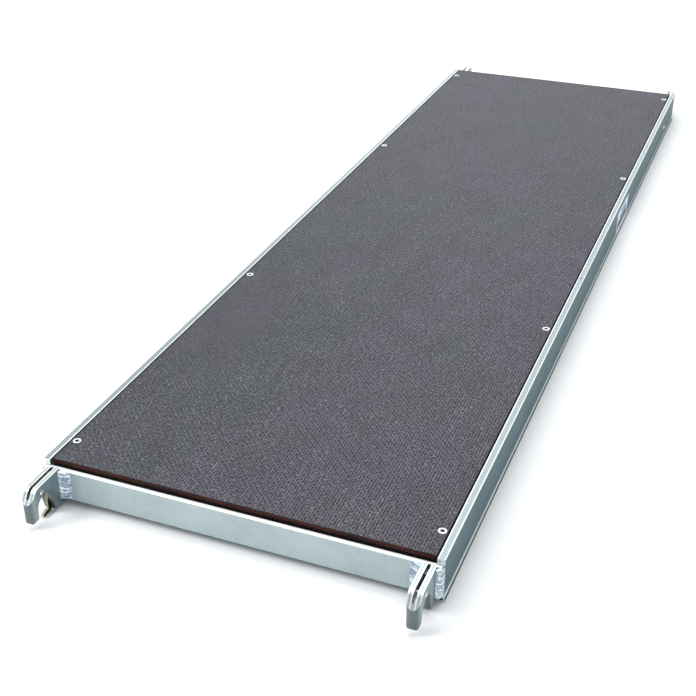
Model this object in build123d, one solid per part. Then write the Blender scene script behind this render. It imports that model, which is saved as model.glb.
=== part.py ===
"""Scaffold plank: an anti-slip plywood deck in a welded aluminium frame, with four hooks that hang it between
two tubes and a gravity catch on two hooks at opposite corners. Millimetres. X runs across the deck, Y along it
and Z up; the origin is on the ground under the middle of the deck, where the side rails rest."""
from build123d import *
import os

# Whole plank
bay_length = 2070.0        # between the centres of the two tubes that carry the plank
overall_width = 600.0      # over the bottom flanges of the side rails
rail_height = 70.0         # from the ground to the walking surface
tube_reach = 50.7          # from the end of the deck board to the centre of the tube

# Deck board
rail_band = 14.0           # width that each side rail takes outside the deck board
deck_thickness = 9.0
deck_edge_break = 0.4
deck_width = overall_width - 2 * rail_band
deck_length = bay_length - 2 * tube_reach

# Side rails: section sizes, measured outwards from the side edge of the deck board
rail_overrun = 5.0         # how far a rail runs past the end of the deck board
lip_inner = 1.8            # a narrow gap parts the board from the lip
lip_outer = 12.8
lip_depth = 9.0
rail_wall = 2.0
ledge_reach = 16.0         # how far the ledge runs under the board
ledge_thickness = 2.5
web_inner = 9.4
web_outer = 11.6
toe_inner = 3.0            # hollow toe along the bottom of the rail
toe_depth = 8.0
edge_round = 0.8
lip_plug = 6.0             # each end of the lip's chamber is closed by weld metal, but for a small vent
lip_vent_radius = 1.1
drain_slit = (6.0, 3.0)    # across and along the right lip
drain_slit_y = -152.0

# End beams and cross members
beam_height = 50.0
beam_depth = 25.0
beam_wall = 2.5
beam_front = 10.0          # the beam's outer face, past the end of the deck board
beam_drop = 9.8            # the beam's top, below the walking surface
tube_corner_outer = 2.5    # rounding of the beams' and cross members' tube, outside and inside
tube_corner_inner = 1.0
cross_height = 40.0
cross_depth = 30.0
cross_positions = (-0.25, 0.0, 0.25)

# Hooks: heights are measured down from the walking surface, reaches outwards from the end of the board
hook_inset = 6.0           # from the side edge of the board in to the middle of a hook
hook_width = 19.0
hook_top = 7.5
hook_nose_reach = 80.0
hook_nose_top = 26.5
hook_nose_bottom = 59.5
hook_leg_bottom = 65.0
mouth_radius = 16.25
mouth_centre_drop = 41.75
hook_slope_start = 60.0    # where the flat top starts to fall to the nose
hook_slope_bend = (65.8, 9.2)
hook_slope_end = (70.2, 13.6)        # the bend ends and runs straight down to the nose's top
hook_toe_round = 4.5       # seen from the side
hook_toe_corner = 6.5      # seen from the front
hook_toe_inner = 72.5      # the nose's foot widens the mouth here, up to the throat
mouth_throat = (68.2, 55.5)
hook_leg_front = 28.8      # the mouth's rear wall slants back to here at the leg's bottom
slot_width = 5.0
slot_back = 11.5
slot_front = 75.0
slot_floor = 15.9          # shallow part of the slot, where the catch's tail comes to rest
slot_rest = 21.0           # the shallow part ends here
slot_nose_floor = 44.0
slot_leg_top = 24.0        # the leg is slotted from here down, for the catch's arm
pin_reach = 54.0
pin_drop = 18.6
pin_radius = 3.0
pin_head_radius = 3.8
pin_head_height = 1.4
pin_head_rim = 0.3         # straight rim of a head below its dome
pin_head_dome = 1.4        # how far the dome narrows the head

# Catch
catch_thickness = 4.0
catch_bore_radius = pin_radius + 0.05
catch_hub_radius = 6.0
catch_tail = (16.0, 9.8, 15.6)       # reach of its end, drops of its top and bottom
catch_foot = (49.0, 62.5, 69.0)      # reach of its tip, drops of its top and bottom
catch_arm_setback = 1.4    # the arm's front edge, behind the mouth's rear wall

# Fasteners and label
rivet_edge = 8.6           # from the side edge of the board
rivet_ends = (49.0, 625.0) # from each end of the board
rivet_head_radius = 6.0
rivet_head_depth = 3.0
rivet_shank_radius = 3.2
rivet_bore_radius = 1.8
rivet_collar = 1.5         # the set end under the ledge stands out from the shank, and is this deep
rivet_collar_depth = 3.5
web_rivet_y = 838.0
web_rivet_drop = 39.0
web_rivet_shank_radius = 2.4
web_rivet_head = (5.0, 1.8)          # radius and height
web_rivet_dome = (1.4, 2.2)          # how far the head is chamfered down and in
web_rivet_set_end = (3.6, 3.0)       # radius and length behind the web
label_centre_y = 262.0
label_centre_drop = 39.0
label_length = 124.0
label_height = 44.0
label_corner = 2.0
label_thickness = 0.3

# Welds
weld_leg = 5.0
bead_bulge = 0.42          # where a fillet's face passes, as a share of its legs
inner_bead_legs = (6.0, 17.5)        # along the hook and along the beam
outer_bead_leg = 8.0       # along the hook
outer_bead_bulge = (7.0, 4.0)        # its face passes here, out from the hook and from the beam's face
outer_bead_edge = 0.8      # it stands out this far past the rail's web

half_width = deck_width / 2
half_length = deck_length / 2


def height(drop):
    """Height above the ground of a level given as its depth below the walking surface."""
    return rail_height - drop


def block(x, y, z):
    """A box between pairs of limits."""
    size = (x[1] - x[0], y[1] - y[0], z[1] - z[0])
    middle = ((x[0] + x[1]) / 2, (y[0] + y[1]) / 2, (z[0] + z[1]) / 2)
    return Pos(*middle) * Box(*size)


def upright(radius, low, high, x, y):
    """A vertical cylinder."""
    return Pos(x, y, (low + high) / 2) * Cylinder(radius, high - low)


def crosswise(radius, low, high, y, z):
    """A cylinder along X."""
    return Pos((low + high) / 2, y, z) * Rot(0, 90, 0) * Cylinder(radius, high - low)


def lengthwise(radius, low, high, x, z):
    """A cylinder along Y."""
    return Pos(x, (low + high) / 2, z) * Rot(90, 0, 0) * Cylinder(radius, high - low)


def side_outline(path, thickness, x):
    """A plate whose outline is given as (reach, drop) points and arcs, centred on the plane at x."""
    face = make_face(path)
    return Pos(x, 0, 0) * extrude(face, thickness / 2, both=True)


def at(reach, drop):
    """The point of a near-end outline at a reach past the board's end and a drop below the deck."""
    return (0, -half_length - reach, height(drop))


def four_corners(near_left):
    """A near-left piece and its three mirror images, by name."""
    far_left = mirror(near_left, Plane.XZ)
    return {
        "near_left": near_left,
        "near_right": mirror(near_left, Plane.YZ),
        "far_left": far_left,
        "far_right": mirror(far_left, Plane.YZ),
    }


def rivet_places():
    """Centres of the eight countersunk rivets of the deck board."""
    for side in (-1, 1):
        for end in (-1, 1):
            for inset in rivet_ends:
                yield side * (half_width - rivet_edge), end * (half_length - inset)


def countersunk(radius, x, y):
    """The space that a deck rivet takes, without its bore: a countersunk head and a shank."""
    head = Pos(x, y, rail_height - rivet_head_depth / 2) * Cone(radius, rivet_head_radius, rivet_head_depth)
    shank = upright(radius, height(deck_thickness + ledge_thickness), rail_height - rivet_head_depth, x, y)
    return head + shank


def deck_panel():
    """The plywood board, with a countersunk hole at each rivet."""
    board = block((-half_width, half_width), (-half_length, half_length), (height(deck_thickness), rail_height))
    board = chamfer(board.edges().group_by(Axis.Z)[-1], deck_edge_break)
    for x, y in rivet_places():
        board -= countersunk(rivet_shank_radius, x, y)
    return board


def rail_section():
    """Section of the right side rail in the XZ plane: a hollow lip, a ledge, a web and a hollow toe."""

    def bar(inner, outer, top, bottom):
        return Pos((inner + outer) / 2, (height(top) + height(bottom)) / 2) * Rectangle(outer - inner, bottom - top)

    toe_top = rail_height - toe_depth
    lip = bar(lip_inner, lip_outer, 0, lip_depth)
    lip = fillet(lip.vertices().group_by(Axis.Y)[-1], edge_round)
    toe = bar(toe_inner, rail_band, toe_top, rail_height)
    toe = fillet(toe.vertices(), edge_round)
    ledge = bar(-ledge_reach, web_outer, deck_thickness, deck_thickness + ledge_thickness)
    web = bar(web_inner, web_outer, lip_depth / 2, toe_top + toe_depth / 2)
    section = lip + toe + ledge + web
    section -= bar(lip_inner + rail_wall, lip_outer - rail_wall, rail_wall, lip_depth - rail_wall / 2)
    section -= bar(toe_inner + rail_wall, rail_band - rail_wall, toe_top + rail_wall, rail_height - rail_wall)
    return section


def side_rail(side):
    """A side rail, cut back at its ledge where the end beams come up to the board."""
    rail_half = half_length + rail_overrun
    plane = Plane(origin=(half_width, rail_half, 0), x_dir=(1, 0, 0), z_dir=(0, -1, 0))
    rail = extrude(plane * rail_section(), 2 * rail_half)
    for end in (-1, 1):
        near, far = sorted((end * (half_length - beam_depth + beam_front - 0.5), end * (rail_half + 1)))
        ledge_zone = (half_width - ledge_reach - 1, half_width + web_inner)
        rail -= block(ledge_zone, (near, far), (height(deck_thickness + ledge_thickness + 1), height(deck_thickness)))
        vent_x = half_width + lip_inner + rail_wall + 1.3 * lip_vent_radius
        plug_near, plug_far = sorted((end * (rail_half - lip_plug), end * rail_half))
        chamber = (half_width + lip_inner + rail_wall / 2, half_width + lip_outer - rail_wall / 2)
        plug = block(chamber, (plug_near, plug_far), (height(lip_depth - rail_wall / 2), height(rail_wall / 2)))
        vent = lengthwise(lip_vent_radius, plug_near - 1, plug_far + 1, vent_x, height(lip_depth / 2))
        rail += plug - vent
    for x, y in rivet_places():
        if x > 0:
            rail -= upright(rivet_shank_radius, height(deck_thickness + ledge_thickness + 1), rail_height, x, y)
    if side < 0:
        return mirror(rail, Plane.YZ)
    slit_x = half_width + lip_inner + 0.8
    rail -= block(
        (slit_x, slit_x + drain_slit[0]),
        (drain_slit_y - drain_slit[1] / 2, drain_slit_y + drain_slit[1] / 2),
        (height(rail_wall + 0.5), rail_height + 1),
    )
    web = (half_width + web_inner - 1, half_width + web_outer + 1)
    return rail - crosswise(web_rivet_shank_radius, *web, web_rivet_y, height(web_rivet_drop))


def hollow_bar(depth, tall, top):
    """A rectangular tube along X between the two webs, centred on Y = 0, its top at a depth below the deck."""
    reach = half_width + web_inner
    profile = RectangleRounded(depth, tall, tube_corner_outer)
    profile -= RectangleRounded(depth - 2 * beam_wall, tall - 2 * beam_wall, tube_corner_inner)
    plane = Plane(origin=(-reach, 0, height(top + tall / 2)), x_dir=(0, 1, 0), z_dir=(1, 0, 0))
    return extrude(plane * profile, 2 * reach)


def end_beam(end):
    """The beam across one end, under the board's edge."""
    middle = half_length + beam_front - beam_depth / 2
    return Pos(0, end * middle, 0) * hollow_bar(beam_depth, beam_height, beam_drop)


def cross_member(share):
    """A tube across the frame under the board, coped at both ends to pass under the ledges."""
    tube = Pos(0, share * deck_length, 0) * hollow_bar(cross_depth, cross_height, deck_thickness)
    y = (share * deck_length - cross_depth, share * deck_length + cross_depth)
    z = (height(deck_thickness + ledge_thickness + 0.1), height(deck_thickness - 1))
    inner = half_width - ledge_reach - 0.3
    outer = half_width + web_inner + 1
    return tube - block((inner, outer), y, z) - block((-outer, -inner), y, z)


def hook():
    """The near-left hook: a rounded bar with a long slot, cut to a side profile with a mouth for the tube."""
    mouth_in = tube_reach - mouth_radius
    mouth_out = tube_reach + mouth_radius
    toe_start = at(hook_nose_reach, hook_nose_bottom - hook_toe_round)
    toe_end = at(hook_nose_reach - hook_toe_round, hook_nose_bottom)
    toe_cut = 0.29 * hook_toe_round
    path = [
        Line(at(beam_front, hook_leg_bottom), at(beam_front, hook_top)),
        Line(at(beam_front, hook_top), at(hook_slope_start, hook_top)),
        ThreePointArc(at(hook_slope_start, hook_top), at(*hook_slope_bend), at(*hook_slope_end)),
        Line(at(*hook_slope_end), at(hook_nose_reach, hook_nose_top)),
        Line(at(hook_nose_reach, hook_nose_top), toe_start),
        ThreePointArc(toe_start, at(hook_nose_reach - toe_cut, hook_nose_bottom - toe_cut), toe_end),
        Line(toe_end, at(hook_toe_inner, hook_nose_bottom)),
        Line(at(hook_toe_inner, hook_nose_bottom), at(*mouth_throat)),
        Line(at(*mouth_throat), at(mouth_out, mouth_centre_drop)),
        ThreePointArc(
            at(mouth_out, mouth_centre_drop),
            at(tube_reach, mouth_centre_drop - mouth_radius),
            at(mouth_in, mouth_centre_drop),
        ),
        Line(at(mouth_in, mouth_centre_drop), at(hook_leg_front, hook_leg_bottom)),
        Line(at(hook_leg_front, hook_leg_bottom), at(beam_front, hook_leg_bottom)),
    ]
    x = -half_width + hook_inset
    body = side_outline(path, hook_width, x)
    nose_radius = hook_width / 2
    nose_y = -half_length - hook_nose_reach + nose_radius
    bar = block((x - nose_radius, x + nose_radius), (nose_y, -half_length), (0, rail_height))
    body = body & (bar + upright(nose_radius, 0, rail_height, x, nose_y))
    toe_y = (-half_length - hook_nose_reach - 1, -half_length - mouth_out)
    toe_z = height(hook_nose_bottom)
    for side in (-1, 1):
        corner_x = x + side * (nose_radius - hook_toe_corner)
        across = sorted((corner_x, corner_x + side * (hook_toe_corner + 1)))
        corner = block(across, toe_y, (toe_z - 1, toe_z + hook_toe_corner))
        body -= corner - lengthwise(hook_toe_corner, *toe_y, corner_x, toe_z + hook_toe_corner)
    sides = (x - slot_width / 2, x + slot_width / 2)
    end_round = slot_width / 2
    round_y = -half_length - slot_front + end_round
    body -= block(sides, (round_y, -half_length - slot_back), (height(slot_floor), rail_height))
    body -= block(sides, (round_y, -half_length - slot_rest), (height(slot_nose_floor), rail_height))
    body -= block(sides, (-half_length - tube_reach, -half_length - slot_rest), (0, rail_height))
    body -= block(sides, (-half_length - slot_rest - 1, -half_length - beam_front), (0, height(slot_leg_top)))
    body -= upright(end_round, height(slot_nose_floor), rail_height, x, round_y)
    pin_y = -half_length - pin_reach
    return body - crosswise(pin_radius, x - hook_width, x + hook_width, pin_y, height(pin_drop))


def hook_pin():
    """The rivet across the near-left hook's slot, with a low domed head on each cheek."""
    x = -half_width + hook_inset
    y = -half_length - pin_reach
    z = height(pin_drop)
    cheek = hook_width / 2
    pin = crosswise(pin_radius, x - cheek, x + cheek, y, z)
    for side in (-1, 1):
        low, high = sorted((x + side * cheek, x + side * (cheek + pin_head_height)))
        head = crosswise(pin_head_radius, low, high, y, z)
        outer_edge = head.edges().filter_by(GeomType.CIRCLE).sort_by(Axis.X)[-1 if side > 0 else 0]
        pin += chamfer(outer_edge, pin_head_height - pin_head_rim, pin_head_dome)
    return pin


def catch():
    """The near-left catch: a bell crank in the hook's slot, with a tail to the rear, an arm down the back of
    the mouth and a foot under the tube. Its weight swings the foot forward until the tail rests in the slot."""
    x = -half_width + hook_inset
    tail_end, tail_top, tail_bottom = catch_tail
    foot_tip, foot_top, foot_bottom = catch_foot
    arm_front = tube_reach - mouth_radius + catch_arm_setback
    outline = [
        (pin_reach, tail_top + 2.8), (50.0, tail_top), (tail_end + 2.0, tail_top), (tail_end, tail_top + 2.0),
        (tail_end, tail_bottom), (37.0, tail_bottom), (27.5, 46.0), (28.5, foot_bottom - 3.0),
        (31.5, foot_bottom), (foot_tip - 1.0, foot_bottom), (foot_tip, foot_top + 1.5),
        (arm_front + 1.0, foot_top), (arm_front, foot_top - 1.0), (arm_front, mouth_centre_drop),
        (pin_reach, mouth_centre_drop - mouth_radius),
    ]
    corners = [at(reach, drop) for reach, drop in outline]
    edges = [Line(a, b) for a, b in zip(corners, corners[1:] + corners[:1])]
    plate = side_outline(edges, catch_thickness, x)
    low, high = x - catch_thickness / 2, x + catch_thickness / 2
    pin_y = -half_length - pin_reach
    plate += crosswise(catch_hub_radius, low, high, pin_y, height(pin_drop))
    plate -= crosswise(mouth_radius + 0.5, low - 1, high + 1, -half_length - tube_reach, height(mouth_centre_drop))
    return plate - crosswise(catch_bore_radius, low - 1, high + 1, pin_y, height(pin_drop))


def prism(points, curve_from, low, high):
    """A vertical weld bead: straight sides through the points, and a bulging face through curve_from."""
    corners = [(x, y, low) for x, y in points]
    edges = [Line(a, b) for a, b in zip(corners, corners[1:])]
    edges.append(ThreePointArc(corners[-1], (*curve_from, low), corners[0]))
    return extrude(make_face(edges), amount=high - low, dir=(0, 0, 1))


def hook_weld():
    """The two beads that hold the near-left hook: one to the beam's face, one to the rail's end."""
    face_y = -half_length - beam_front
    inner = -half_width + hook_inset + hook_width / 2
    outer = -half_width + hook_inset - hook_width / 2
    low = height(beam_drop + beam_height - 1)
    high = height(beam_drop + 1)
    hook_leg, beam_leg = inner_bead_legs
    inner_bead = prism(
        [(inner, face_y - hook_leg), (inner, face_y), (inner + beam_leg, face_y)],
        (inner + bead_bulge * beam_leg, face_y - bead_bulge * hook_leg), low, high,
    )
    web_x = -half_width - web_inner
    rail_y = -half_length - rail_overrun
    edge_x = -half_width - web_outer - outer_bead_edge
    bulge_out, bulge_forward = outer_bead_bulge
    outer_bead = prism(
        [(outer, face_y - outer_bead_leg), (outer, face_y), (web_x, face_y), (web_x, rail_y), (edge_x, rail_y)],
        (outer - bulge_out, face_y - bulge_forward), low, high,
    )
    return [inner_bead, outer_bead]


def corner_fillet(x, y, x_side, y_side, leg, low, high):
    """A vertical triangular fillet weld in the corner at (x, y)."""
    points = [(x, y + y_side * leg), (x, y), (x + x_side * leg, y)]
    return prism(points, (x + x_side * bead_bulge * leg, y + y_side * bead_bulge * leg), low, high)


def beam_welds():
    """The fillets between the back of each end beam and the rail webs."""
    beads = []
    for x_side in (-1, 1):
        for end in (-1, 1):
            x = x_side * (half_width + web_inner)
            y = end * (half_length + beam_front - beam_depth)
            low = height(beam_drop + beam_height - 1)
            high = height(deck_thickness + ledge_thickness + 1)
            beads.append(corner_fillet(x, y, -x_side, -end, weld_leg, low, high))
    return beads


def cross_member_welds():
    """The fillets on both sides of each cross member's ends."""
    beads = []
    for share in cross_positions:
        for x_side in (-1, 1):
            for y_side in (-1, 1):
                x = x_side * (half_width + web_inner)
                y = share * deck_length + y_side * cross_depth / 2
                low = height(deck_thickness + cross_height - 1)
                high = height(deck_thickness + ledge_thickness + 1)
                beads.append(corner_fillet(x, y, -x_side, y_side, weld_leg - 1, low, high))
    return beads


def deck_rivets():
    """Eight countersunk blind rivets, set below the ledge, each with an open bore."""
    rivets = []
    ledge_bottom = height(deck_thickness + ledge_thickness)
    for x, y in rivet_places():
        rivet = countersunk(rivet_shank_radius, x, y)
        rivet += upright(rivet_shank_radius + rivet_collar, ledge_bottom - rivet_collar_depth, ledge_bottom, x, y)
        rivets.append(rivet - upright(rivet_bore_radius, ledge_bottom, rail_height + 1, x, y))
    return rivets


def web_rivet():
    """A domed blind rivet through the right rail's web."""
    z = height(web_rivet_drop)
    inner = half_width + web_inner
    outer = half_width + web_outer
    head_radius, head_height = web_rivet_head
    set_radius, set_length = web_rivet_set_end
    rivet = crosswise(web_rivet_shank_radius, inner, outer, web_rivet_y, z)
    head = crosswise(head_radius, outer, outer + head_height, web_rivet_y, z)
    rivet += chamfer(head.edges().filter_by(GeomType.CIRCLE).sort_by(Axis.X)[-1], *web_rivet_dome)
    return rivet + crosswise(set_radius, inner - set_length, inner, web_rivet_y, z)


def label_sticker():
    """A plain sticker with rounded corners on the right rail's web."""
    origin = (half_width + web_outer, label_centre_y, height(label_centre_drop))
    plane = Plane(origin=origin, x_dir=(0, 1, 0), z_dir=(1, 0, 0))
    return extrude(plane * RectangleRounded(label_length, label_height, label_corner), label_thickness)


def build():
    """Every node by name. A node made of several solids is a list."""
    nodes = {
        "deck_panel": deck_panel(),
        "side_rail_left": side_rail(-1),
        "side_rail_right": side_rail(1),
        "end_beam_near": end_beam(-1),
        "end_beam_far": end_beam(1),
        "beam_welds": beam_welds(),
        "cross_member_welds": cross_member_welds(),
        "deck_rivets": deck_rivets(),
        "web_rivet": web_rivet(),
        "label_sticker": label_sticker(),
    }
    for number, share in enumerate(cross_positions, 1):
        nodes[f"cross_member_{number}"] = cross_member(share)
    for corner, solid in four_corners(hook()).items():
        nodes[f"hook_{corner}"] = solid
    for corner, solid in four_corners(hook_pin()).items():
        nodes[f"hook_pin_{corner}"] = solid
    beads = [four_corners(bead) for bead in hook_weld()]
    for corner in beads[0]:
        nodes[f"hook_weld_{corner}"] = [bead[corner] for bead in beads]
    catches = four_corners(catch())
    for corner in ("near_left", "far_right"):
        nodes[f"catch_{corner}"] = catches[corner]
    return nodes


os.makedirs("parts", exist_ok=True)
for name, shape in build().items():
    solids = shape if isinstance(shape, list) else [shape]
    export_step(Compound(children=[s for piece in solids for s in piece.solids()]), f"parts/{name}.step")
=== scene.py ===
"""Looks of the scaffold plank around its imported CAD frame: an anti-slip plywood deck in a mill-finish aluminium
frame with welded hooks and yellow zinc catches. Metres, in the frame of the CAD model."""
import math
import random

import bpy
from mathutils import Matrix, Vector, noise


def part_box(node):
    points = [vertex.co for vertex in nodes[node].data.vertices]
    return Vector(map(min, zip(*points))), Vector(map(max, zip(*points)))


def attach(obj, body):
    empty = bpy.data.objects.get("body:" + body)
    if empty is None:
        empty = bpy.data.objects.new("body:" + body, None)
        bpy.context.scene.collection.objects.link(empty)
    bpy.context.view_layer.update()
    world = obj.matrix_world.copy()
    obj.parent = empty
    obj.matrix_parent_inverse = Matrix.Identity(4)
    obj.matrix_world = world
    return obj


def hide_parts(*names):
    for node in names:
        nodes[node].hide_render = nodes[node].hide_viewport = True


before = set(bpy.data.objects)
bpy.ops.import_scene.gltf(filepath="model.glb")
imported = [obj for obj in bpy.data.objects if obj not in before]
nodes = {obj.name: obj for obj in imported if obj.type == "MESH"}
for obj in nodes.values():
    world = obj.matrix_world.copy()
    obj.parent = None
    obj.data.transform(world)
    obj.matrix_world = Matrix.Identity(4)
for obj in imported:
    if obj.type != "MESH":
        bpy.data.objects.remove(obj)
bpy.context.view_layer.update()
MM = 0.001

# Camera, above and beyond the near right corner
CAMERA_PLACE = (0.605709, -2.096944, 1.046861)
CAMERA_TARGET = (-0.010389, -0.543165, 0.070)
CAMERA_LENS = 60.881

# The mesh pressed into the deck's film: staggered oval pits, this far apart across and along the deck
PIT_ACROSS = 8.81 * MM
PIT_ALONG = 9.09 * MM

# The board's side edges, with painted shadow in the joint to the rails, as a band inside and outside of the edge
DECK_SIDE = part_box("deck_panel")[1].x
JOINT_SHADOW = (DECK_SIDE - 1.6 * MM, DECK_SIDE + 1.0 * MM)

# A painted shadow line along the bottom of the board's sawn edges, below and above the bottom face
EDGE_SHADOW = (1.0 * MM, 1.5 * MM)

# The deck rivets' places, from the middle of the deck, and the radius that their painted shade rings are drawn to
RIVET_INSET = 277.4 * MM
RIVET_ENDS = (935.3 * MM, 359.3 * MM)
RIVET_RING_REACH = 6.0 * MM

# Painted highlights along edges and the rails' toes, as bright bands (axis, start, end), from the middle of the plank
RAIL_HIGHLIGHTS = (("X", 0.2972, 0.301), ("X", 0.2870, 0.2896), ("Z", 0.0, 0.012))
HOOK_HIGHLIGHTS = (("X", 0.2700, 0.2722), ("X", 0.2757, 0.2776), ("X", 0.2824, 0.2843), ("X", 0.2878, 0.2900))
HIGHLIGHT_WHITE = (0.93, 0.95, 0.96)

# The darker strip along the rails' outer sides, and the painted shadow on the end beams' tops under the board's edge
RAIL_DARK_STRIP = (0.2995, 0.3010)
BEAM_SHADOW = (0.9835, 0.9881)
SHADOW_BLACK = (0.010, 0.010, 0.011)

# Weld beads of the hooks: how far they run out, how far apart their ripples are and how much these sag and swell
INNER_BEAD_LEG = 6.0 * MM
INNER_BEAD_PITCH = 4.6 * MM
INNER_BEAD_SAG = 3.4 * MM
OUTER_BEAD_LEG = 7.5 * MM
OUTER_BEAD_BULGE = (6.6 * MM, 3.6 * MM)
OUTER_BEAD_PITCH = 4.4 * MM
OUTER_BEAD_SAG = 4.6 * MM
BEAD_SWELL = 0.75 * MM
BEAD_DOME = 3.0 * MM

# Plain fillets behind the end beams and along the cross members
BEAM_FILLET_LEG = 4.8 * MM
CROSS_FILLET_LEG = BEAM_FILLET_LEG - 0.9 * MM
FILLET_PITCH = 3.6 * MM
FILLET_SAG = 1.6 * MM
FILLET_SWELL = 0.4 * MM

# Rounding of the sharp edges
HOOK_ROUNDING = 0.9 * MM
CATCH_ROUNDING = 0.35 * MM

# Studio: (name, place, target, size, watts) of each area light
LIGHTS = (
    ("overhead", (-0.3, 0.4, 4.2), (0, 0, 0), (4.5, 5.0), 190),
    ("far", (-1.5, 6.5, 2.4), (0, 0.6, 0), (4.0, 2.2), 52),
    ("key", (-3.0, -2.6, 3.2), (0, -0.2, 0), (1.8, 1.8), 105),
)
WORLD_COLOUR = (0.93, 0.97, 1.0, 1.0)
WORLD_STRENGTH = 0.55
FLOOR_HALF = 30.0
FLOOR_DROP = 0.0005


# ---------------------------------------------------------------- shader building

class Shader:
    """A material on one Principled surface, with short calls for the procedural nodes that feed it."""

    def __init__(self, name, **sockets):
        self.material = bpy.data.materials.new(name)
        self.material.use_nodes = True
        self.tree = self.material.node_tree
        self.tree.nodes.clear()
        self.surface = self.add("ShaderNodeBsdfPrincipled")
        output = self.add("ShaderNodeOutputMaterial")
        self.link(self.surface.outputs["BSDF"], output.inputs["Surface"])
        self.place = self.add("ShaderNodeTexCoord").outputs["Object"]
        for socket, value in sockets.items():
            self.surface.inputs[socket.replace("_", " ")].default_value = value

    def add(self, kind, **settings):
        made = self.tree.nodes.new(kind)
        for key, value in settings.items():
            setattr(made, key, value)
        return made

    def link(self, source, target):
        self.tree.links.new(source, target)

    def feed(self, socket, value):
        if isinstance(value, bpy.types.NodeSocket):
            self.link(value, socket)
        else:
            socket.default_value = value

    def math(self, operation, a, b=0.0, c=0.0, clamp=False):
        made = self.add("ShaderNodeMath", operation=operation, use_clamp=clamp)
        for socket, value in zip(made.inputs, (a, b, c)):
            self.feed(socket, value)
        return made.outputs[0]

    def stretched(self, stretch):
        made = self.add("ShaderNodeMapping")
        self.link(self.place, made.inputs["Vector"])
        made.inputs["Scale"].default_value = stretch
        return made.outputs[0]

    def noise(self, scale, stretch=(1, 1, 1), detail=3.0, roughness=0.55, distortion=0.0):
        made = self.add("ShaderNodeTexNoise")
        self.link(self.stretched(stretch), made.inputs["Vector"])
        made.inputs["Scale"].default_value = scale
        made.inputs["Detail"].default_value = detail
        made.inputs["Roughness"].default_value = roughness
        made.inputs["Distortion"].default_value = distortion
        return made.outputs["Fac"]

    def cells(self, scale, stretch=(1, 1, 1)):
        made = self.add("ShaderNodeTexVoronoi")
        self.link(self.stretched(stretch), made.inputs["Vector"])
        made.inputs["Scale"].default_value = scale
        return made.outputs["Distance"]

    def ramp(self, value, *stops):
        """Colours or grey levels at positions from 0 to 1."""
        made = self.add("ShaderNodeValToRGB")
        self.link(value, made.inputs["Fac"])
        elements = made.color_ramp.elements
        while len(elements) < len(stops):
            elements.new(0.5)
        for element, (position, colour) in zip(elements, stops):
            element.position = position
            shade = colour if isinstance(colour, tuple) else (colour, colour, colour)
            element.color = (*shade, 1.0)
        return made.outputs["Color"]

    def mix(self, share, a, b, blend="MIX"):
        made = self.add("ShaderNodeMix", data_type="RGBA", blend_type=blend)
        self.feed(made.inputs["Factor"], share)
        for socket, value in ((made.inputs[6], a), (made.inputs[7], b)):
            self.feed(socket, (*value, 1.0) if isinstance(value, tuple) else value)
        return made.outputs[2]

    def bump(self, height, distance, strength=1.0, under=None):
        made = self.add("ShaderNodeBump")
        made.inputs["Strength"].default_value = strength
        made.inputs["Distance"].default_value = distance
        self.link(height, made.inputs["Height"])
        if under is not None:
            self.link(under, made.inputs["Normal"])
        return made.outputs["Normal"]

    def parts(self, vector):
        """The X, Y and Z sockets of a vector."""
        apart = self.add("ShaderNodeSeparateXYZ")
        self.link(vector, apart.inputs[0])
        return apart.outputs

    def facing(self, axis, low, high):
        """From 0 to 1 as the surface turns to face along an axis, by the amount its normal has of it."""
        amount = self.parts(self.add("ShaderNodeNewGeometry").outputs["True Normal"])[axis]
        if axis != "Z":
            amount = self.math("ABSOLUTE", amount)
        made = self.add("ShaderNodeMapRange", clamp=True)
        for socket, value in (("Value", amount), ("From Min", low), ("From Max", high)):
            self.feed(made.inputs[socket], value)
        return made.outputs[0]

    def band(self, axis, start, end):
        """1 between two distances from the middle along an axis, on either side, and 0 elsewhere."""
        away = self.math("ABSOLUTE", self.parts(self.place)[axis])
        return self.math("MULTIPLY", self.math("GREATER_THAN", away, start), self.math("LESS_THAN", away, end))

    def colour(self, value):
        self.link(value, self.surface.inputs["Base Color"])

    def rough(self, value):
        self.link(value, self.surface.inputs["Roughness"])

    def normal(self, value):
        self.link(value, self.surface.inputs["Normal"])


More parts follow.
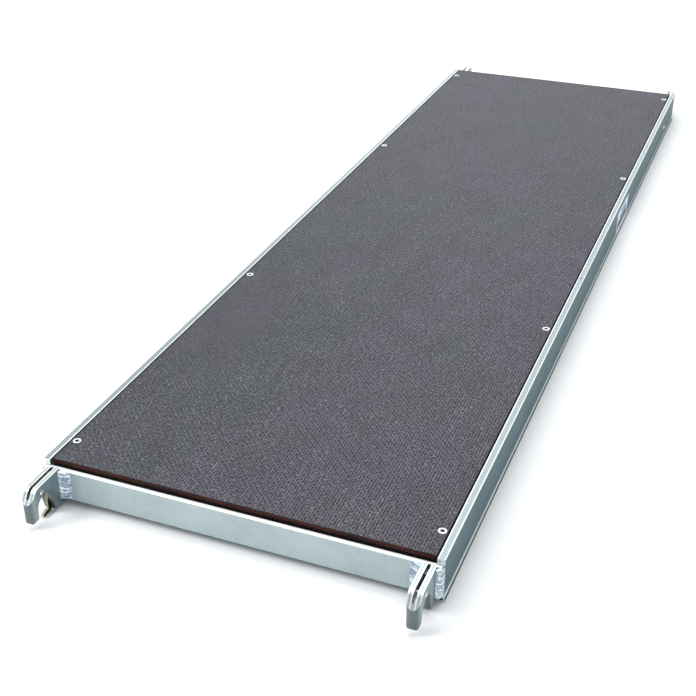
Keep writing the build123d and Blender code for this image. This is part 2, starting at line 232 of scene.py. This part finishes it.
def aluminium(name, base, grain, top_light_colour=None, bright=(), dark_sides=(), shadow_band=(), y_face_grey=None, roughness=0.42,
              metallic=0.82, edge_tint=1.0, blotch=0.10, scratches=0.5):
    """Mill-finish aluminium: drawn lines along the grain, cloudy oxide, a few fine scratches and small pits. Faces
    that look up have the second colour, painted light from above, with painted highlights in the bright bands (axis,
    start, end). The dark-side band (start, end) is a darker strip along both outer sides. Faces across the plank's
    length take the given grey level, when there is one, as painted light and shade. The edge tint dulls glancing
    reflections on upright sides facing X: painted shade.
    The shadow band (start, end) is a painted black shadow along both ends' upper faces."""
    s = Shader(name, Metallic=metallic)
    # painted shade: glancing reflections are dulled on upright sides that face X
    if edge_tint < 1.0:
        tint = s.mix(s.facing("X", 0.5, 0.9), (1.0, 1.0, 1.0), (edge_tint, edge_tint, edge_tint))
        s.link(tint, s.surface.inputs["Specular Tint"])
    lines = s.noise(900, grain, detail=4.0, roughness=0.7)
    clouds = s.noise(14, detail=4.0, roughness=0.6)
    mottle = s.noise(130, detail=3.0, roughness=0.6)
    dark = tuple(c * (1 - 2.2 * blotch) for c in base)
    light = tuple(min(1.0, c * (1 + 1.3 * blotch)) for c in base)
    tone = s.math("MULTIPLY_ADD", clouds, 0.6, s.math("MULTIPLY", mottle, 0.4))
    shade = s.ramp(tone, (0.30, dark), (0.52, base), (0.72, light))
    shade = s.mix(0.25, shade, s.ramp(lines, (0.3, dark), (0.7, light)))
    if top_light_colour is not None:
        # a darker strip along the rails' outer sides
        shade = s.mix(s.band("X", *dark_sides), shade, tuple(0.45 * c for c in base)) if dark_sides else shade
        top_patches = s.noise(45, grain, detail=4.0, roughness=0.65)
        patchy = s.ramp(top_patches, (0.30, tuple(0.78 * c for c in top_light_colour)), (0.6, top_light_colour))
        # painted highlights: near-white bands along edges and the rails' toes
        for axis, start, end in bright:
            patchy = s.mix(s.band(axis, start, end), patchy, HIGHLIGHT_WHITE)
        # painted shadow: a black strip on the ends' upper faces, under the board's edge
        patchy = s.mix(s.band("Y", *shadow_band), patchy, SHADOW_BLACK) if shadow_band else patchy
        # painted light and shade: faces across the plank's length take the given grey level
        if y_face_grey is not None:
            shade = s.mix(s.facing("Y", 0.15, 0.75), shade, s.mix(0.25, (y_face_grey, 1.1 * y_face_grey, 1.13 * y_face_grey), shade))
        # painted light: faces that look up take the lighter top colour, with its patches and bands
        shade = s.mix(s.facing("Z", 0.25, 0.6), shade, patchy)
    specks = s.ramp(s.cells(160), (0.0, 0.0), (0.07, 0.0), (0.10, 1.0))
    shade = s.mix(s.math("MULTIPLY", s.ramp(clouds, (0.5, 0.0), (0.75, 0.5)), 0.6), shade,
                  s.mix(specks, tuple(c * 0.45 for c in base), shade))
    s.colour(shade)
    s.rough(s.math("MULTIPLY_ADD", mottle, 0.22, s.math("MULTIPLY_ADD", lines, 0.16, roughness - 0.19)))
    fine = s.bump(lines, 0.00006 * scratches)
    s.normal(s.bump(mottle, 0.00010, 0.6, fine))
    return s


def deck_film():
    """Dark phenolic film with the imprint of a wire mesh: staggered oval pits between strands that run lengthwise."""
    s = Shader("deck_film", IOR=1.5, Specular_IOR_Level=0.33)
    place = s.parts(s.place)
    across = s.math("MULTIPLY", place["X"], 2 * math.pi / PIT_ACROSS)
    along = s.math("MULTIPLY", place["Y"], 2 * math.pi / PIT_ALONG)
    drift = s.math("MULTIPLY", s.math("SUBTRACT", s.noise(9, detail=1.0), 0.5), 1.6)
    across = s.math("ADD", across, drift)
    rising = s.math("COSINE", s.math("ADD", across, along))
    falling = s.math("COSINE", s.math("SUBTRACT", across, along))
    strands = s.math("COSINE", s.math("MULTIPLY", across, 2.0))
    pits = s.math("MULTIPLY_ADD", strands, 0.5, s.math("MULTIPLY", s.math("ADD", rising, falling), 0.2))
    uneven = s.ramp(s.noise(70, detail=3.0, roughness=0.8), (0.36, 0.10), (0.62, 1.0))
    crumbs = s.math("MULTIPLY_ADD", s.noise(230, detail=2.0, roughness=0.6), 1.6, -0.80)
    level = s.math("ADD", s.math("MULTIPLY_ADD", s.math("MULTIPLY", pits, uneven), -0.75, 0.45), crumbs)
    clouds = s.noise(5.5, (1.0, 0.6, 1.0), detail=5.0, roughness=0.62)
    stain = s.noise(16, (1.0, 0.7, 1.0), detail=4.0, roughness=0.6, distortion=0.6)
    grain = s.noise(520, detail=3.0, roughness=0.7)
    worn = s.noise(38, (1.0, 0.35, 1.0), detail=5.0, roughness=0.7)
    violet = (0.053, 0.046, 0.067)
    green = (0.041, 0.050, 0.055)
    body = s.ramp(clouds, (0.36, green), (0.5, (0.047, 0.046, 0.058)), (0.64, violet))
    body = s.mix(s.ramp(stain, (0.38, 0.0), (0.7, 0.6)), body, (0.031, 0.031, 0.041))
    # the colour is darker in the pits and lighter on the strands' crests, more so in random patches
    relief = s.mix(1.0, body, s.ramp(level, (0.0, 0.08), (0.40, 0.86), (0.80, 2.3)), "MULTIPLY")
    crest_lightening = s.math("MULTIPLY", s.ramp(worn, (0.5, 0.0), (0.75, 0.4)), s.ramp(level, (0.45, 0.0), (0.75, 1.0)))
    relief = s.mix(crest_lightening, relief, (0.26, 0.26, 0.28))
    flecks = s.ramp(s.noise(260, detail=1.0), (0.66, 0.0), (0.74, 0.7))
    relief = s.mix(flecks, relief, (0.26, 0.26, 0.28))
    # painted shadow: a near-black band along the deck's side edges, in the joint to the rails
    relief = s.mix(s.band("X", *JOINT_SHADOW), relief, (0.004, 0.004, 0.005))
    s.colour(s.mix(s.math("MULTIPLY", grain, 0.3), relief, s.mix(1.0, relief, (0.55, 0.55, 0.6), "MULTIPLY")))
    s.rough(s.math("MULTIPLY_ADD", level, -0.12, s.math("MULTIPLY_ADD", worn, 0.14, 0.52)))
    mesh = s.bump(level, 0.00045)
    s.normal(s.bump(grain, 0.00008, 0.7, mesh))
    return s.material


def smooth_film():
    """The smooth side of the board: the same dark resin film without the mesh, faintly rippled by the veneer."""
    s = Shader("smooth_film", IOR=1.5)
    veneer = s.noise(60, (1.0, 0.05, 1.0), detail=4.0, roughness=0.65)
    clouds = s.noise(7, detail=4.0)
    body = s.ramp(clouds, (0.35, (0.055, 0.034, 0.028)), (0.7, (0.085, 0.053, 0.042)))
    s.colour(s.mix(0.3, body, s.ramp(veneer, (0.3, (0.04, 0.025, 0.02)), (0.7, (0.09, 0.058, 0.046)))))
    s.rough(s.math("MULTIPLY_ADD", veneer, 0.15, 0.3))
    s.normal(s.bump(veneer, 0.00012))
    return s.material


def sealed_edge():
    """Sawn plywood edge under red-brown sealing paint: the plies show as faint ridges."""
    s = Shader("sealed_edge", Roughness=0.6, IOR=1.48, Specular_IOR_Level=0.2)
    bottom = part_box("deck_panel")[0].z
    plies = s.noise(1.0, (6.0, 6.0, 900.0), detail=1.0)
    blot = s.noise(28, (1.0, 1.0, 3.0), detail=5.0, roughness=0.65)
    fibre = s.noise(420, (0.5, 0.5, 2.0), detail=3.0)
    body = s.ramp(blot, (0.36, (0.012, 0.004, 0.003)), (0.52, (0.042, 0.009, 0.005)), (0.68, (0.085, 0.022, 0.012)))
    body = s.mix(s.ramp(plies, (0.42, 0.0), (0.62, 0.5)), body, (0.030, 0.012, 0.009))
    # painted shadow: a near-black line along the bottom of the sawn edge, for the gap under the board
    line = s.band("Z", bottom - EDGE_SHADOW[0], bottom + EDGE_SHADOW[1])
    s.colour(s.mix(line, body, (0.003, 0.003, 0.003)))
    ridges = s.bump(plies, 0.0002)
    s.normal(s.bump(fibre, 0.00012, 0.7, ridges))
    return s.material


def weld_metal():
    """Fresh weld bead: bright and frosted, with painted highlights on its ripples and toes and painted shade in the
    grooves between them.
    """
    s = Shader("weld_metal", Metallic=0.75)
    frost = s.noise(700, detail=4.0, roughness=0.7)
    soot = s.noise(260, (1.0, 1.0, 0.8), detail=3.0, roughness=0.7)
    body = s.ramp(soot, (0.36, (0.30, 0.38, 0.46)), (0.5, (0.66, 0.74, 0.82)), (0.62, (0.92, 0.95, 0.98)))
    body = s.mix(s.ramp(frost, (0.45, 0.0), (0.75, 0.5)), body, (0.34, 0.42, 0.50))
    crest = s.add("ShaderNodeAttribute", attribute_name="crest").outputs["Fac"]
    # painted highlight on ripple crests and toes, painted shade in the grooves, set by the crest attribute
    ripples = s.ramp(crest, (0.12, (0.30, 0.36, 0.42)), (0.55, (0.60, 0.65, 0.70)), (0.90, 1.25))
    s.colour(s.mix(1.0, body, ripples, "MULTIPLY"))
    s.rough(s.math("MULTIPLY_ADD", frost, 0.3, 0.2))
    s.normal(s.bump(frost, 0.00012))
    return s.material


def bright_zinc():
    """Zinc-plated steel of the hook rivets: faint spangle and hammer marks."""
    s = Shader("bright_zinc", Metallic=1.0)
    spangle = s.cells(900)
    smear = s.noise(240, detail=3.0)
    s.colour(s.ramp(spangle, (0.1, (0.55, 0.57, 0.58)), (0.5, (0.78, 0.79, 0.78))))
    s.rough(s.math("MULTIPLY_ADD", smear, 0.25, 0.2))
    s.normal(s.bump(smear, 0.00012))
    return s.material


def yellow_zinc():
    """Yellow-chromated steel of the catches: gold with olive and rose bloom, worn dull where it slides; its sides
    that face X are dark, as painted shade.
    """
    s = Shader("yellow_zinc", Metallic=1.0)
    bloom = s.noise(55, detail=3.0, roughness=0.6, distortion=0.8)
    rub = s.noise(300, (1.0, 1.0, 0.3), detail=4.0, roughness=0.7)
    body = s.ramp(bloom, (0.34, (0.20, 0.22, 0.11)), (0.48, (0.46, 0.42, 0.30)), (0.62, (0.62, 0.54, 0.46)))
    body = s.mix(s.ramp(rub, (0.52, 0.0), (0.78, 0.6)), body, (0.34, 0.32, 0.25))
    arm = s.math("MULTIPLY_ADD", s.parts(s.place)["Z"], 60.0, -0.7, clamp=True)
    body = s.mix(arm, body, s.ramp(bloom, (0.34, (0.07, 0.08, 0.03)), (0.62, (0.28, 0.26, 0.12))))
    # painted shade: nearly black on the sides that face X
    dark_sides = s.ramp(bloom, (0.3, (0.012, 0.010, 0.007)), (0.7, (0.055, 0.046, 0.022)))
    s.colour(s.mix(s.facing("X", 0.5, 0.85), body, dark_sides))
    s.rough(s.math("MULTIPLY_ADD", rub, 0.3, 0.22))
    s.normal(s.bump(rub, 0.00010))
    return s.material


def rivet_top(**metal):
    """The metal of the deck rivets with their set centres: painted shade as grey rings around a dark bore."""
    s = aluminium("rivet_top", **metal)
    place = s.parts(s.place)
    across = s.math("POWER", s.math("SUBTRACT", s.math("ABSOLUTE", place["X"]), RIVET_INSET), 2.0)
    nearest = 1.0
    for end in RIVET_ENDS:
        along = s.math("POWER", s.math("SUBTRACT", s.math("ABSOLUTE", place["Y"]), end), 2.0)
        nearest = s.math("MINIMUM", nearest, s.math("SQRT", s.math("ADD", across, along)))
    reach = s.math("MULTIPLY", nearest, 1 / RIVET_RING_REACH)
    # painted shade: dark in the bore, grey on the rings around it
    rings = s.ramp(reach, (0.30, 0.02), (0.40, 0.20), (0.62, 0.38), (0.72, 1.0))
    plain = s.surface.inputs["Base Color"].links[0].from_socket
    s.colour(s.mix(1.0, plain, rings, "MULTIPLY"))
    return s.material


def sticker_film(low, high):
    """Glossy printed film with a plain border and three plain bars in place of print."""
    s = Shader("sticker_film", IOR=1.5, Specular_IOR_Level=0.15)
    place = s.parts(s.place)
    along = s.math("DIVIDE", s.math("SUBTRACT", place["Y"], low.y), high.y - low.y)
    up = s.math("DIVIDE", s.math("SUBTRACT", place["Z"], low.z), high.z - low.z)

    def within(value, start, end):
        return s.math("MULTIPLY", s.math("GREATER_THAN", value, start), s.math("LESS_THAN", value, end))

    mark = s.math("MULTIPLY", within(along, 0.08, 0.92), within(up, 0.12, 0.42))
    for start, end, bottom, top in ((0.30, 0.84, 0.48, 0.60), (0.44, 0.78, 0.68, 0.78)):
        mark = s.math("MAXIMUM", mark, s.math("MULTIPLY", within(along, start, end), within(up, bottom, top)))
    haze = s.noise(60, detail=4.0)
    paper = s.ramp(haze, (0.3, (0.52, 0.62, 0.76)), (0.7, (0.80, 0.86, 0.93)))
    scuff = s.noise(340, (1.0, 0.3, 1.0), detail=4.0, roughness=0.7)
    ink = s.ramp(scuff, (0.4, (0.020, 0.045, 0.075)), (0.75, (0.10, 0.15, 0.20)))
    s.colour(s.mix(mark, paper, ink))
    s.rough(s.math("MULTIPLY_ADD", scuff, 0.25, 0.40))
    s.normal(s.bump(haze, 0.0001))
    return s.material


def floor_paint():
    """Plain pale studio floor."""
    s = Shader("floor_paint", Roughness=0.9)
    s.surface.inputs["Specular IOR Level"].default_value = 0.1
    s.colour(s.ramp(s.noise(1.2), (0.3, (0.905, 0.91, 0.91)), (0.7, (0.915, 0.92, 0.92))))
    return s.material


# ---------------------------------------------------------------- pieces

def mesh_piece(name, points, faces, material, body):
    """A mesh from points (x, y, z) or (x, y, z, crest), where crest is how far a ripple stands there, from 0 to 1,
    and sets the weld's painted highlight.
    """
    mesh = bpy.data.meshes.new(name)
    mesh.from_pydata([point[:3] for point in points], [], faces)
    mesh.polygons.foreach_set("use_smooth", [True] * len(mesh.polygons))
    crests = [point[3] for point in points if len(point) > 3]
    mesh.materials.append(material)
    if crests:
        mesh.attributes.new("crest", "FLOAT", "POINT").data.foreach_set("value", crests)
    piece = bpy.data.objects.new(name, mesh)
    bpy.context.scene.collection.objects.link(piece)
    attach(piece, body)
    return piece


def bead_rings(back, bulge, low, high, pitch, sag, swell, seed, columns=18, row_height=0.45 * MM):
    """Rings of a vertical weld bead from low to high. Its section runs along the back points and returns in an arc
    through the bulge; rounded ripples, a pitch apart and lower in the middle by the sag, stand out by the swell."""
    draw = random.Random(seed)
    first, last = Vector(back[0]), Vector(back[-1])
    heel = Vector(back[1])
    control = 2 * Vector(bulge) - (first + last) / 2
    edges = [low - 2 * pitch]
    while edges[-1] < high + 4 * pitch:
        edges.append(edges[-1] + pitch * draw.uniform(0.62, 1.38))
    tilt = [draw.uniform(-0.5, 0.5) for _ in edges]
    size = [draw.uniform(0.55, 1.25) for _ in edges]
    rows = max(8, round((high - low) / row_height))
    rings = []
    for row in range(rows + 1):
        z = low + (high - low) * row / rows
        near_end = min(z - low, high - z)
        share = 1.0 if near_end > BEAD_DOME else math.sqrt(max(0.0, 1 - (1 - near_end / BEAD_DOME) ** 2))
        scale = 0.45 + 0.55 * share
        scale *= 1 + 0.10 * noise.noise(Vector((seed * 3.1, 0.0, z * 130)))
        ring = []
        for column in range(columns + 1):
            s = column / columns
            point = (1 - s) ** 2 * last + 2 * s * (1 - s) * control + s ** 2 * first
            tangent = 2 * (1 - s) * (control - last) + 2 * s * (first - control)
            normal = Vector((tangent.y, -tangent.x)).normalized()
            if normal.dot(point - heel) < 0:
                normal.negate()
            centre = 2 * s - 1
            level = z + sag * (1 - centre ** 2)
            number = max(i for i, edge in enumerate(edges) if edge <= level)
            span = edges[number + 1] - edges[number]
            part = (level + tilt[number] * centre * pitch * 0.3 - edges[number]) / span
            part = min(1.0, max(0.0, part))
            ripple = math.sqrt(max(0.0, 4 * part * (1 - part))) * size[number]
            toe = abs(centre) ** 6
            grain = noise.noise(Vector((point.x * 400, point.y * 400 + seed, z * 400)))
            rise = swell * ripple * (1 - toe) * share + 0.12 * MM * grain
            point = heel + (point - heel) * scale + normal * rise
            # crest: the level of painted highlight, high on the ripples and at the bead's toes
            ring.append((point.x, point.y, z, min(1.0, max(ripple, toe) * (0.9 + 0.3 * grain))))
        for corner in back[1:-1]:
            inner = heel + (Vector(corner) - heel) * scale
            ring.append((inner.x, inner.y, z, 0.5))
        rings.append(ring)
    return rings


def rings_to_mesh(rings, points, faces, flip):
    """Adds a closed tube through the rings."""
    start = len(points)
    count = len(rings[0])
    for ring in rings:
        points.extend(ring)

    def add(face):
        faces.append(tuple(reversed(face)) if flip else tuple(face))

    for row in range(len(rings) - 1):
        for column in range(count):
            following = (column + 1) % count
            a, b = start + row * count + column, start + row * count + following
            add((a, b, b + count, a + count))
    add(range(start + count - 1, start - 1, -1))
    add(range(start + (len(rings) - 1) * count, start + len(rings) * count))


def mirrored(rings, x_side, y_side):
    return [[(x_side * x, y_side * y, z, crest) for x, y, z, crest in ring] for ring in rings]


def signed_area(ring):
    return sum(a[0] * b[1] - b[0] * a[1] for a, b in zip(ring, ring[1:] + ring[:1]))


def add_bead(points, faces, rings, x_side=1, y_side=1):
    turned = mirrored(rings, x_side, y_side)
    rings_to_mesh(turned, points, faces, signed_area(turned[len(turned) // 2]) < 0)


WELD = weld_metal()


def hook_welds():
    """The two rippled beads of each hook, in the places of their CAD solids."""
    hook_low, hook_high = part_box("hook_near_left")
    beam_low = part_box("end_beam_near")[0]
    rail_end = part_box("side_rail_left")[0].y
    weld_low, weld_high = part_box("hook_weld_near_left")
    face = beam_low.y
    leg = weld_high.x - hook_high.x
    outer = hook_low.x
    web = beam_low.x
    edge = weld_low.x
    inner_back = [(hook_high.x, face - INNER_BEAD_LEG), (hook_high.x, face), (hook_high.x + leg, face)]
    inner_bulge = (hook_high.x + 0.40 * leg, face - 0.42 * INNER_BEAD_LEG)
    outer_back = [(outer, face - OUTER_BEAD_LEG), (outer, face), (web, face), (web, rail_end), (edge, rail_end)]
    outer_bulge = (outer - OUTER_BEAD_BULGE[0], face - OUTER_BEAD_BULGE[1])
    beads = (
        (inner_back, inner_bulge, INNER_BEAD_PITCH, INNER_BEAD_SAG),
        (outer_back, outer_bulge, OUTER_BEAD_PITCH, OUTER_BEAD_SAG),
    )
    number = 0
    for end, y_side in (("near", 1), ("far", -1)):
        for hand, x_side in (("left", 1), ("right", -1)):
            number += 1
            corner = f"{end}_{hand}"
            points, faces = [], []
            for step, (back, bulge, pitch, sag) in enumerate(beads):
                seed = 10 * number + step
                rings = bead_rings(back, bulge, weld_low.z, weld_high.z, pitch, sag, BEAD_SWELL, seed)
                add_bead(points, faces, rings, x_side, y_side)
            piece = mesh_piece(f"bead_{corner}", points, faces, WELD, "frame")
            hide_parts(f"hook_weld_{corner}")


def corner_welds(name, node, places, leg):
    """Plain fillets in the corners at places = (x, y, x_side, y_side), in place of one CAD node of many beads."""
    low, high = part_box(node)
    points, faces = [], []
    for number, (x, y, x_side, y_side) in enumerate(places):
        back = [(0.0, leg), (0.0, 0.0), (leg, 0.0)]
        rings = bead_rings(back, (0.42 * leg, 0.42 * leg), low.z, high.z, FILLET_PITCH, FILLET_SAG, FILLET_SWELL,
                           200 + number, columns=8, row_height=0.9 * MM)
        placed = [[(x + x_side * a, y + y_side * b, z, crest) for a, b, z, crest in ring] for ring in rings]
        rings_to_mesh(placed, points, faces, signed_area(placed[len(placed) // 2]) < 0)
    piece = mesh_piece(name, points, faces, WELD, "frame")
    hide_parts(node)


def hidden_welds():
    """Fillets behind the end beams and on both sides of the cross members."""
    beam_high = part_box("end_beam_near")[1]
    web = beam_high.x
    places = [(x * web, y * beam_high.y, -x, y) for x in (-1, 1) for y in (-1, 1)]
    corner_welds("beam_fillets", "beam_welds", places, BEAM_FILLET_LEG)
    places = []
    for number in (1, 2, 3):
        low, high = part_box(f"cross_member_{number}")
        for x in (-1, 1):
            places.append((x * web, low.y, -x, -1))
            places.append((x * web, high.y, -x, 1))
    corner_welds("cross_fillets", "cross_member_welds", places, CROSS_FILLET_LEG)


def paint(node, *materials):
    """Gives a CAD node its materials; with three, by face: the first up, the second down, the third on the sides."""
    mesh = nodes[node].data
    mesh.materials.clear()
    for material in materials:
        mesh.materials.append(material)
    if len(materials) == 3:
        mesh.polygons.foreach_set(
            "material_index", [0 if p.normal.z > 0.6 else 1 if p.normal.z < -0.9 else 2 for p in mesh.polygons]
        )


def soften(node, width, angle=32.0, segments=2):
    """Rounds the sharp edges of a CAD node a little, as tumbling and handling do."""
    piece = nodes[node]
    weld = piece.modifiers.new("join", "WELD")
    weld.merge_threshold = 0.00001
    bevel = piece.modifiers.new("soften", "BEVEL")
    bevel.width = width
    bevel.segments = segments
    bevel.limit_method = "ANGLE"
    bevel.angle_limit = math.radians(angle)
    bevel.harden_normals = False
    bevel.use_clamp_overlap = True
    piece.modifiers.new("shade", "WEIGHTED_NORMAL")


# ---------------------------------------------------------------- dressing the frame

RAIL = aluminium("rail_metal", (0.190, 0.280, 0.305), (1.0, 0.004, 1.0), top_light_colour=(0.39, 0.465, 0.48), y_face_grey=1.0,
                 edge_tint=0.4, bright=RAIL_HIGHLIGHTS, dark_sides=RAIL_DARK_STRIP).material
BEAM = aluminium("beam_metal", (0.41, 0.49, 0.51), (0.004, 1.0, 1.0), top_light_colour=(0.95, 0.97, 0.98), roughness=0.45,
                 metallic=0.5, shadow_band=BEAM_SHADOW).material
HOOK = aluminium("hook_metal", (0.28, 0.36, 0.38), (1.0, 0.3, 0.3), top_light_colour=(0.50, 0.56, 0.58), roughness=0.4,
                 blotch=0.12, scratches=0.8, bright=HOOK_HIGHLIGHTS, y_face_grey=0.085).material
# near-white and hardly metallic: a painted highlight on the rivet heads
RIVET = dict(base=(0.92, 0.93, 0.93), grain=(1.0, 1.0, 1.0), roughness=0.35, blotch=0.05, metallic=0.15)

paint("deck_panel", deck_film(), smooth_film(), sealed_edge())
for side in ("left", "right"):
    paint(f"side_rail_{side}", RAIL)
for name in ("end_beam_near", "end_beam_far", "cross_member_1", "cross_member_2", "cross_member_3"):
    paint(name, BEAM)
zinc = bright_zinc()
for corner in ("near_left", "near_right", "far_left", "far_right"):
    paint(f"hook_{corner}", HOOK)
    soften(f"hook_{corner}", HOOK_ROUNDING)
    paint(f"hook_pin_{corner}", zinc)
gold = yellow_zinc()
for corner in ("near_left", "far_right"):
    paint(f"catch_{corner}", gold)
    soften(f"catch_{corner}", CATCH_ROUNDING)
paint("deck_rivets", rivet_top(**RIVET))
paint("web_rivet", aluminium("rivet_metal", **RIVET).material)
paint("label_sticker", sticker_film(*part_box("label_sticker")))

hook_welds()
hidden_welds()

# ---------------------------------------------------------------- studio

def area_light(name, place, target, size, watts):
    data = bpy.data.lights.new(name, "AREA")
    data.shape = "RECTANGLE"
    data.size, data.size_y = size
    data.energy = watts
    light = bpy.data.objects.new(name, data)
    light.location = place
    light.rotation_mode = "QUATERNION"
    light.rotation_quaternion = (Vector(target) - Vector(place)).to_track_quat("-Z", "Y")
    bpy.context.scene.collection.objects.link(light)


def studio():
    corners = [(x * FLOOR_HALF, y * FLOOR_HALF, 0) for x, y in ((-1, -1), (1, -1), (1, 1), (-1, 1))]
    floor_mesh = bpy.data.meshes.new("floor")
    floor_mesh.from_pydata(corners, [], [(0, 1, 2, 3)])
    floor_mesh.materials.append(floor_paint())
    floor = bpy.data.objects.new("floor", floor_mesh)
    floor.location.z = -FLOOR_DROP
    bpy.context.scene.collection.objects.link(floor)
    world = bpy.data.worlds.new("studio")
    world.use_nodes = True
    background = world.node_tree.nodes["Background"]
    background.inputs["Color"].default_value = WORLD_COLOUR
    background.inputs["Strength"].default_value = WORLD_STRENGTH
    bpy.context.scene.world = world
    for light in LIGHTS:
        area_light(*light)
    bpy.context.scene.view_settings.view_transform = "Standard"


def camera():
    data = bpy.data.cameras.new("camera")
    data.lens = CAMERA_LENS
    data.sensor_width = 36.0
    data.clip_end = 100.0
    made = bpy.data.objects.new("camera", data)
    made.location = CAMERA_PLACE
    made.rotation_mode = "QUATERNION"
    made.rotation_quaternion = (Vector(CAMERA_TARGET) - Vector(CAMERA_PLACE)).to_track_quat("-Z", "Y")
    bpy.context.scene.collection.objects.link(made)
    bpy.context.scene.camera = made


studio()
camera()
